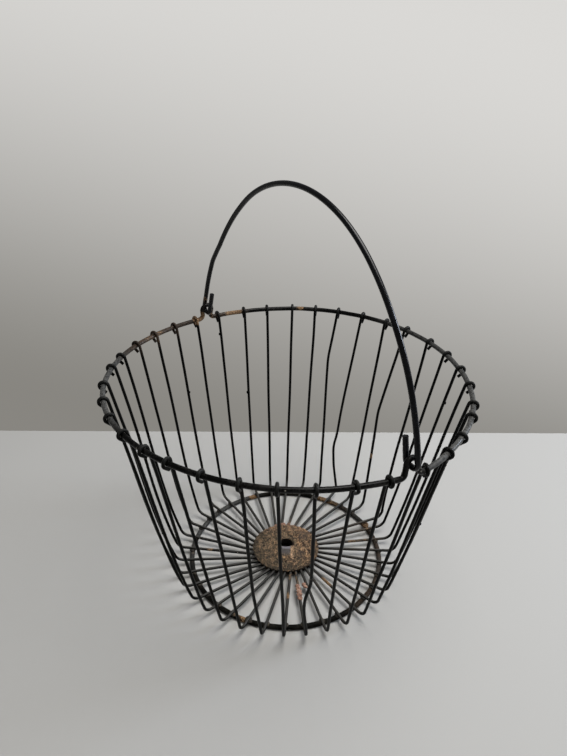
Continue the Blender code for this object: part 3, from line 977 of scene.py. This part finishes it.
# %% Hang the bail in its ears
BAIL_HEIGHT = RIM_HEIGHT - RIM_SAG / 2 + AXIS_ABOVE_RIM
BAIL_DIP = math.atan(RIM_SAG / (2 * RIM_RADIUS))
BAIL_LEAN = math.radians(-2.3)
BAIL_SWAY = 0.0004
BAIL_SWAY_WAVES = 22.0
# The knock in the left side: pairs of the height above the axis and the shift.
KNOCK = ((0.020, 0.0), (0.060, -0.0015), (0.080, 0.0012), (0.115, 0.0))


def hang(point):
    """A point of the flat bail, swayed, knocked, leaned and tipped as it hangs at rest."""
    sway = BAIL_SWAY * noise.noise(point * BAIL_SWAY_WAVES) if point.z > BAIL_LEG else 0.0
    knock = 0.0
    if point.x < 0.0:
        for (low, first), (high, last) in zip(KNOCK, KNOCK[1:]):
            if low < point.z <= high:
                knock = first + (last - first) * (point.z - low) / (high - low)
    turn = Euler((BAIL_LEAN, BAIL_DIP, 0.0)).to_matrix()
    return turn @ (point + Vector((knock, sway, 0.0))) + Vector((0.0, -EAR_OFFSET, BAIL_HEIGHT))


bail_points = [hang(point) for point in flat_bail]
bail = lay_wire(bail_points, BAIL_WIRE, 16)
stands_for(bail, "bail_wire_arch", "bail", "bail")
print("bail:", len(bail.data.polygons), "faces, crown at", round(max(p.z for p in bail_points), 4))

# %% [markdown]
# ## Effects that several metals share
# Old steel is never one colour.  Four effects are needed more than once, so each is a node
# group that gives only masks, colours and heights: the mottled dark skin, rust that blooms
# in patches, pale flecks where the skin has chipped, and a mask round one place, for the
# rust that sits in known spots.  Each material feeds them its own object coordinates.

# %% Helpers that build node groups
FLOAT = "NodeSocketFloat"
COLOUR = "NodeSocketColor"
VECTOR = "NodeSocketVector"


def group_with(name, inputs, outputs):
    """A shader group that is fed with a vector, and its input and output nodes."""
    group = bpy.data.node_groups.new(name, "ShaderNodeTree")
    group.interface.new_socket("Vector", in_out="INPUT", socket_type=VECTOR)
    for label, kind, value in inputs:
        socket = group.interface.new_socket(label, in_out="INPUT", socket_type=kind)
        socket.default_value = value
    for label, kind in outputs:
        group.interface.new_socket(label, in_out="OUTPUT", socket_type=kind)
    return group, group.nodes.new("NodeGroupInput").outputs, group.nodes.new("NodeGroupOutput").inputs


def noise_node(tree, coordinates, scale, detail, roughness=0.6):
    """Noise over the surface, about 1 / scale metres from lump to lump."""
    node = tree.nodes.new("ShaderNodeTexNoise")
    node.inputs["Scale"].default_value = scale
    node.inputs["Detail"].default_value = detail
    node.inputs["Roughness"].default_value = roughness
    feed(tree, coordinates, node.inputs["Vector"])
    return node.outputs["Fac"]


# %% Mottled dark skin
skin_group, given, result = group_with(
    "mottled_skin",
    [("Dark", COLOUR, (0.01, 0.01, 0.01, 1.0)), ("Worn", COLOUR, (0.06, 0.06, 0.06, 1.0))],
    [("Color", COLOUR), ("Wear", FLOAT), ("Height", FLOAT)],
)
broad = noise_node(skin_group, given["Vector"], 55.0, 3.0)
fine = noise_node(skin_group, given["Vector"], 520.0, 4.0, 0.7)
wear = ramp_node(skin_group, times(skin_group, broad, fine), 0.19, 0.38)
feed(skin_group, blend_node(skin_group, wear, given["Dark"], given["Worn"]), result["Color"])
feed(skin_group, wear, result["Wear"])
feed(skin_group, fine, result["Height"])
print("group", skin_group.name, "has", len(skin_group.nodes), "nodes")

# %% Rust that blooms in patches
rust_group, given, result = group_with(
    "rust_bloom",
    [
        ("Amount", FLOAT, 0.0),
        ("Deep", COLOUR, (0.075, 0.042, 0.024, 1.0)),
        ("Bright", COLOUR, (0.33, 0.21, 0.115, 1.0)),
    ],
    [("Mask", FLOAT), ("Color", COLOUR), ("Height", FLOAT)],
)
patches = noise_node(rust_group, given["Vector"], 75.0, 3.0)
grains = noise_node(rust_group, given["Vector"], 700.0, 3.0, 0.75)
both = plus(rust_group, times(rust_group, patches, 0.6), times(rust_group, grains, 0.4))
mask = ramp_node(rust_group, plus(rust_group, both, given["Amount"]), 0.66, 0.78)
tone = ramp_node(rust_group, grains, 0.36, 0.66)
feed(rust_group, mask, result["Mask"])
feed(rust_group, blend_node(rust_group, tone, given["Deep"], given["Bright"]), result["Color"])
feed(rust_group, times(rust_group, mask, grains), result["Height"])
print("group", rust_group.name, "has", len(rust_group.nodes), "nodes")

# %% A mask round one place
spot_group, given, result = group_with(
    "round_a_place", [("Centre", VECTOR, (0.0, 0.0, 0.0)), ("Reach", FLOAT, 0.02)], [("Mask", FLOAT)]
)
distance = vector_node(spot_group, "DISTANCE", given["Vector"], given["Centre"])
share = math_node(spot_group, "DIVIDE", distance, given["Reach"])
feed(spot_group, ramp_node(spot_group, share, 0.25, 1.0, 1.0, 0.0), result["Mask"])
print("group", spot_group.name, "has", len(spot_group.nodes), "nodes")

# %% Pale flecks where the skin has chipped
fleck_group, given, result = group_with("pale_flecks", [("Amount", FLOAT, 0.5)], [("Mask", FLOAT)])
cells = fleck_group.nodes.new("ShaderNodeTexVoronoi")
cells.inputs["Scale"].default_value = 330.0
feed(fleck_group, given["Vector"], cells.inputs["Vector"])
near = ramp_node(fleck_group, cells.outputs["Distance"], 0.10, 0.26, 1.0, 0.0)
split = fleck_group.nodes.new("ShaderNodeSeparateColor")
feed(fleck_group, cells.outputs["Color"], split.inputs["Color"])
chance = math_node(fleck_group, "LESS_THAN", split.outputs["Red"], given["Amount"])
feed(fleck_group, times(fleck_group, near, chance), result["Mask"])
print("groups:", [group.name for group in bpy.data.node_groups])

# %% [markdown]
# ## The metals
# Every wire has the same skin recipe with its own colours: near-black oxide, a little worn
# grey, flecks, and rust where a place asks for it.  The rim is greyer on its right and left
# sides, partly from handling and partly from a painted sheen, and rusty at the back left.
# The bail is the smoothest and glossiest, and the foot ring and the floor runs are dull with
# dust.

# %% Helpers that place groups in a material
def place_group(tree, group, vector, **settings):
    """A group placed in a material, fed with the material's own coordinates."""
    node = tree.nodes.new("ShaderNodeGroup")
    node.node_tree = group
    feed(tree, vector, node.inputs["Vector"])
    for label, value in settings.items():
        node.inputs[label].default_value = value
    return node


def sum_of_spots(tree, where, start, spots):
    """A start value plus a soft mask round each place (centre, reach, strength)."""
    total = plus(tree, 0.0, start)
    for centre, reach, strength in spots:
        spot = place_group(tree, spot_group, where, Centre=centre, Reach=reach)
        total = plus(tree, total, times(tree, spot.outputs[0], strength))
    return total


def add_bump(tree, height, strength, distance):
    """Let a height pattern roughen the surface."""
    bump = tree.nodes.new("ShaderNodeBump")
    bump.inputs["Strength"].default_value = strength
    bump.inputs["Distance"].default_value = distance
    feed(tree, height, bump.inputs["Height"])
    feed(tree, bump.outputs["Normal"], tree.nodes["Principled BSDF"].inputs["Normal"])


def dress(piece, material):
    """Paint a piece with one material."""
    piece.data.materials.clear()
    piece.data.materials.append(material)


print("a spot mask has the inputs", [socket.name for socket in spot_group.interface.items_tree])

# %% The recipe for a wire's skin
# The lighter grey of worn metal, which on the rim also stands for a painted sheen.
BARE_METAL_AND_SHEEN = (0.16, 0.16, 0.155)
BROWN_STAIN = (0.060, 0.042, 0.030)
FLECK_GREY = (0.30, 0.28, 0.24)
DUST_GREY = (0.13, 0.125, 0.115)
DUST_SHARE = 0.36


def wire_skin(name, dark, worn, rough, rust=0.0, flecks=0.02, metallic=0.2, shine=0.25, pits=0.25,
              rusty=(), rubbed_and_sheen=(), stained=(), worn_and_lit_above=None, dust_below=None):
    """Material of an old wire, with its rusty and stained places, and its worn places, which on the rim
    also carry a painted sheen.
    """
    material, tree = plain_paint(name, dark, rough)
    shader = tree.nodes["Principled BSDF"]
    shader.inputs["Metallic"].default_value = metallic
    shader.inputs["Specular IOR Level"].default_value = shine
    where = tree.nodes.new("ShaderNodeTexCoord").outputs["Object"]
    skin = place_group(tree, skin_group, where, Dark=(*dark, 1.0), Worn=(*worn, 1.0))
    rust_node = place_group(tree, rust_group, where)
    feed(tree, sum_of_spots(tree, where, rust, rusty), rust_node.inputs["Amount"])
    height = tree.nodes.new("ShaderNodeSeparateXYZ")
    feed(tree, where, height.inputs["Vector"])
    # A lighter grey where the wire is worn, and on the rim also a painted sheen.
    bare_and_sheen = sum_of_spots(tree, where, 0.0, rubbed_and_sheen)
    # Above this height the wire turns lighter: partly wear, partly painted light where the hook tops catch
    # the lamps.
    if worn_and_lit_above is not None:
        top = ramp_node(tree, height.outputs["Z"], worn_and_lit_above, worn_and_lit_above + 0.008, 0.0, 0.15)
        bare_and_sheen = plus(tree, bare_and_sheen, top)
    grainy = ramp_node(tree, skin.outputs["Height"], 0.35, 0.62, 0.35, 1.0)
    colour = blend_node(tree, times(tree, bare_and_sheen, grainy), skin.outputs["Color"], BARE_METAL_AND_SHEEN)
    brown = times(tree, sum_of_spots(tree, where, 0.0, stained), grainy)
    colour = blend_node(tree, brown, colour, BROWN_STAIN)
    fleck = place_group(tree, fleck_group, where, Amount=flecks)
    colour = blend_node(tree, fleck.outputs["Mask"], colour, FLECK_GREY)
    if dust_below is not None:
        low = ramp_node(tree, height.outputs["Z"], dust_below, dust_below + 0.012, 1.0, 0.0)
        facing_up = tree.nodes.new("ShaderNodeSeparateXYZ")
        feed(tree, tree.nodes.new("ShaderNodeNewGeometry").outputs["Normal"], facing_up.inputs["Vector"])
        upper = ramp_node(tree, facing_up.outputs["Z"], 0.35, 0.95)
        colour = blend_node(tree, times(tree, times(tree, low, upper), DUST_SHARE), colour, DUST_GREY)
    colour = blend_node(tree, rust_node.outputs["Mask"], colour, rust_node.outputs["Color"])
    feed(tree, colour, shader.inputs["Base Color"])
    worn_rough = ramp_node(tree, skin.outputs["Wear"], 0.0, 1.0, rough, rough + 0.12)
    rust_rough = times(tree, rust_node.outputs["Mask"], 0.35)
    feed(tree, plus(tree, worn_rough, rust_rough), shader.inputs["Roughness"])
    skin_height = times(tree, skin.outputs["Height"], 0.5)
    add_bump(tree, plus(tree, skin_height, rust_node.outputs["Height"]), pits, 0.0002)
    return material


print("bare metal shows as", BARE_METAL_AND_SHEEN)

# %% Paint the rim hoop
def on_rim(degrees, above=0.0):
    """A place on the rim hoop."""
    azimuth = math.radians(degrees)
    return cylindrical(rim_radius(azimuth), azimuth, RIM_HEIGHT + above)


rim_skin = wire_skin(
    "rim_skin", (0.0016, 0.0016, 0.0015), (0.0130, 0.0122, 0.0114), 0.27,
    flecks=0.03, metallic=0.03, shine=0.13,
    rusty=(
        (on_rim(181.0, 0.006), 0.020, 0.14), (on_rim(170.0, 0.002), 0.017, 0.34),
        (on_rim(184.5, 0.002), 0.011, 0.34), (on_rim(206.0), 0.032, 0.13),
        (on_rim(219.0), 0.030, 0.08), (on_rim(142.5, 0.002), 0.006, 0.27),
    ),
    rubbed_and_sheen=(
        # Worn grey places on the rim; on its right and left sides they are also a painted sheen of the
        # window and the room.
        (on_rim(16.0), 0.050, 0.66), (on_rim(40.0), 0.060, 0.55), (on_rim(68.0), 0.060, 0.45),
        (on_rim(95.0), 0.060, 0.30), (on_rim(232.0), 0.050, 0.45), (on_rim(255.0), 0.055, 0.55),
    ),
    stained=((on_rim(205.0), 0.075, 1.0), (on_rim(172.0), 0.030, 0.8)),
)
dress(rim, rim_skin)
print("rim painted with", rim_skin.name)

# %% Paint the ribs and their nubs
def on_floor_wire(right, back):
    """A place on the floor runs, by its X and Y."""
    return Vector((right, back, 0.008))


HUB_BACK = in_studio(0.005, 0.0375, 0.008)
RUSTY_RUN = on_floor_wire(0.060, 0.0068)
BROWN_RUNS = on_floor_wire(0.026, 0.076)
rib_skin = wire_skin(
    "rib_skin", (0.0014, 0.0015, 0.0012), (0.0044, 0.0044, 0.0038), 0.32,
    flecks=0.008, metallic=0.03, shine=0.07, pits=0.03,
    rusty=(
        (on_rim(208.0), 0.018, 0.12), (on_rim(184.5), 0.012, 0.25),
        (on_floor_wire(0.052, -0.017), 0.012, 0.26), (on_floor_wire(0.036, -0.016), 0.012, 0.15),
        (on_floor_wire(0.060, 0.008), 0.010, 0.20), (BROWN_RUNS, 0.034, 0.13),
        (on_floor_wire(-0.040, -0.067), 0.007, 0.25), (Vector((-0.020, 0.124, 0.067)), 0.006, 0.30),
        (on_floor_wire(0.053, -0.0315), 0.010, 0.18), (HUB_BACK, 0.008, 0.24),
        (RUSTY_RUN, 0.010, 0.28), (on_floor_wire(0.0545, -0.0352), 0.006, 0.26),
    ),
    stained=(
        (on_rim(197.0), 0.015, 0.9), (on_rim(207.0), 0.017, 1.0), (on_rim(218.0), 0.017, 0.9),
        (on_rim(172.0), 0.014, 0.6), (BROWN_RUNS, 0.034, 0.9), (RUSTY_RUN, 0.014, 0.9),
        (HUB_BACK, 0.014, 1.0),
    ),
    # The hook tops above this height are lighter, partly from wear and partly as painted light.
    worn_and_lit_above=RIM_HEIGHT - 0.002, dust_below=0.012,
)
for piece in (*ribs, nubs):
    dress(piece, rib_skin)
print(len(ribs), "ribs painted with", rib_skin.name)

# %% Paint the bail
bail_skin = wire_skin(
    "bail_skin", (0.0011, 0.0013, 0.0020), (0.0040, 0.0044, 0.0068), 0.20,
    flecks=0.010, metallic=0.03, shine=0.30, pits=0.04,
    rusty=((on_rim(181.0, 0.024), 0.020, 0.19),),
)
dress(bail, bail_skin)
print("bail painted with", bail_skin.name)

# %% Paint the foot ring, its welds and the scabs
def on_foot(degrees):
    """A place on the foot ring."""
    return cylindrical(FOOT_RADIUS, math.radians(degrees), FOOT_WIRE / 2)


foot_skin = wire_skin(
    "foot_skin", (0.0036, 0.0033, 0.0027), (0.018, 0.0165, 0.013), 0.50,
    rust=0.02, flecks=0.02, metallic=0.03, shine=0.04,
    rusty=(
        (on_foot(-123.5), 0.018, 0.11), (on_foot(170.6), 0.010, 0.22), (on_foot(120.6), 0.012, 0.22),
        (on_foot(111.0), 0.020, 0.13), (on_foot(83.0), 0.010, 0.22), (on_foot(-56.0), 0.010, 0.18),
        (on_foot(30.0), 0.030, 0.06),
    ),
    rubbed_and_sheen=(
        (on_foot(195.0), 0.060, 0.45), (on_foot(230.0), 0.050, 0.30), (on_foot(100.0), 0.040, 0.25),
        (on_foot(50.0), 0.045, 0.35),
    ),
    stained=((on_foot(62.0), 0.040, 0.9), (on_foot(25.0), 0.045, 0.8), (on_foot(110.0), 0.030, 0.6)),
)
lump_skin = wire_skin(
    "lump_skin", (0.024, 0.021, 0.017), (0.090, 0.074, 0.055), 0.65,
    rust=0.05, flecks=0.05, metallic=0.1,
    rusty=((on_foot(83.0), 0.012, 0.30), (on_foot(-56.0), 0.030, 0.10)),
)
scab_skin = wire_skin(
    "scab_skin", (0.14, 0.070, 0.048), (0.42, 0.26, 0.19), 0.9,
    rust=0.08, flecks=0.1, metallic=0.0,
)
dress(foot, foot_skin)
dress(foot_welds, lump_skin)
dress(scabs, scab_skin)
print("wires painted with", [m.name for m in bpy.data.materials if m.name.endswith("skin")])

# %% [markdown]
# ## The rusty hub
# The cap is the one bright spot: rough olive-brown rust with dark pits, tan crumbs and a
# few painted glints, small highlights set into its colour.  A grey worn patch lies below the
# hole where the rust has come off, with a painted pale reflection on its upper part; a tan
# streak runs beside it to the lip, two spots are duller than the rest, and inside the hole
# painted shade makes it nearly black.  These marks have straight sides, so each is cut out
# by two distances: towards the camera and across.

# %% Rust all over the hub
OLIVE_RUST = (0.052, 0.044, 0.033)
RED_RUST = (0.068, 0.040, 0.024)
BACK_RUST = (0.150, 0.088, 0.060)
CRUMB_TAN = (0.59, 0.350, 0.180)
PIT_BROWN = (0.008, 0.005, 0.003)
GLINT_TAN = (0.76, 0.56, 0.34)

hub_rust, tree = plain_paint("hub_rust", (0.12, 0.085, 0.055), 0.85)
tree.nodes["Principled BSDF"].inputs["Specular IOR Level"].default_value = 0.2
where = tree.nodes.new("ShaderNodeTexCoord").outputs["Object"]
crumbs = noise_node(tree, where, 900.0, 3.0, 0.8)
clusters = noise_node(tree, where, 230.0, 2.0)
blotches = noise_node(tree, where, 95.0, 2.0)
nearer = vector_node(tree, "DOT_PRODUCT", where, in_studio(0.0, -1.0, 0.0))
across = vector_node(tree, "DOT_PRODUCT", where, in_studio(1.0, 0.0, 0.0))
redder = ramp_node(tree, plus(tree, times(tree, across, 12.0), blotches), 0.36, 0.80)
colour = blend_node(tree, redder, OLIVE_RUST, RED_RUST)
further = times(tree, ramp_node(tree, nearer, -0.034, -0.014, 1.0, 0.0), 0.85)
colour = blend_node(tree, further, colour, BACK_RUST)
grouped = plus(tree, times(tree, crumbs, 0.7), times(tree, clusters, 0.3))
bright_crumbs = ramp_node(tree, grouped, 0.535, 0.575)
more_at_right = ramp_node(tree, redder, 0.0, 1.0, 0.55, 0.72)
colour = blend_node(tree, times(tree, bright_crumbs, more_at_right), colour, CRUMB_TAN)
colour = blend_node(tree, ramp_node(tree, grouped, 0.435, 0.480, 1.0, 0.0), colour, PIT_BROWN)
# Painted glints: tiny bright highlights set into the rust's colour.
glints = ramp_node(tree, noise_node(tree, where, 1250.0, 1.0), 0.640, 0.700)
colour = blend_node(tree, times(tree, glints, 0.70), colour, GLINT_TAN)
print("rust recipe has", len(tree.nodes), "nodes so far")

# %% Marks on the hub
# Each mark: from, to and soft edge across; the same towards the camera; how fully it covers,
# or the limits between which the crumbs take it; and its colour.
DULL_BROWN = (0.045, 0.038, 0.032)
MARKS = (
    # The first two marks are the worn grey patch below the hole; the second, paler one is a painted
    # reflection on its upper part.
    ((-0.0045, 0.0052, 0.0006), (0.0030, 0.0155, 0.0030), (0.34, 0.50), (0.086, 0.078, 0.076)),
    ((-0.0040, 0.0047, 0.0010), (0.0030, 0.0085, 0.0015), 0.66, (0.25, 0.24, 0.265)),
    ((0.0115, 0.0185, 0.0025), (0.0090, 0.0210, 0.0030), 0.55, DULL_BROWN),
    ((0.0135, 0.0235, 0.0025), (-0.0205, -0.0060, 0.0030), 0.55, DULL_BROWN),
    ((0.0052, 0.0077, 0.0012), (0.0040, 0.0200, 0.0020), (0.44, 0.54), (0.69, 0.44, 0.26)),
    ((0.0040, 0.0086, 0.0008), (-0.0010, 0.0044, 0.0012), 0.92, (0.010, 0.005, 0.003)),
)


def between(tree, value, low, high, soft):
    """1 where a value lies between two limits, fading over a soft edge."""
    above = ramp_node(tree, value, low - soft, low + soft)
    below = ramp_node(tree, value, high - soft, high + soft, 1.0, 0.0)
    return times(tree, above, below)


for sideways, towards, cover, tint in MARKS:
    mark = times(tree, between(tree, across, *sideways), between(tree, nearer, *towards))
    if isinstance(cover, tuple):
        cover = ramp_node(tree, crumbs, *cover)
    colour = blend_node(tree, times(tree, mark, cover), colour, tint)
print(len(MARKS), "marks on the hub")

# %% Paint shade into the hole and the pressed-down lip, and finish the hub
HOLE_SHADE = (0.004, 0.002, 0.0015)
EDGE_SHADE = (0.045, 0.037, 0.028)
LIP_SHADE = (0.012, 0.009, 0.007)

radius = vector_node(tree, "LENGTH", vector_node(tree, "MULTIPLY", where, Vector((1.0, 1.0, 0.0))))
level = vector_node(tree, "DOT_PRODUCT", where, UP)
hole_edge = CAP_SEAT + crown_height(COLLAR_RADIUS) + HUB_SHEET
# Painted shade: inside the hole, below its edge, the cap turns nearly black.
inside = ramp_node(tree, radius, COLLAR_RADIUS, COLLAR_RADIUS + 0.001, 1.0, 0.0)
below = ramp_node(tree, level, hole_edge - 0.0016, hole_edge - 0.0006, 1.0, 0.0)
colour = blend_node(tree, times(tree, inside, below), colour, HOLE_SHADE)
# Painted shade: the cap darkens towards its edge, except at the back.
outer = ramp_node(tree, radius, 0.024, 0.034, 0.0, 0.5)
not_behind = ramp_node(tree, nearer, -0.022, -0.008)
colour = blend_node(tree, times(tree, outer, not_behind), colour, EDGE_SHADE)
pressed_in = ramp_node(tree, level, CAP_SEAT - 0.0010, CAP_SEAT + 0.0008, 0.85, 0.0)
colour = blend_node(tree, pressed_in, colour, LIP_SHADE)
feed(tree, colour, tree.nodes["Principled BSDF"].inputs["Base Color"])
add_bump(tree, crumbs, 0.9, 0.0008)
dress(cap, hub_rust)
dress(washer, hub_rust)
print("hub painted with", hub_rust.name)
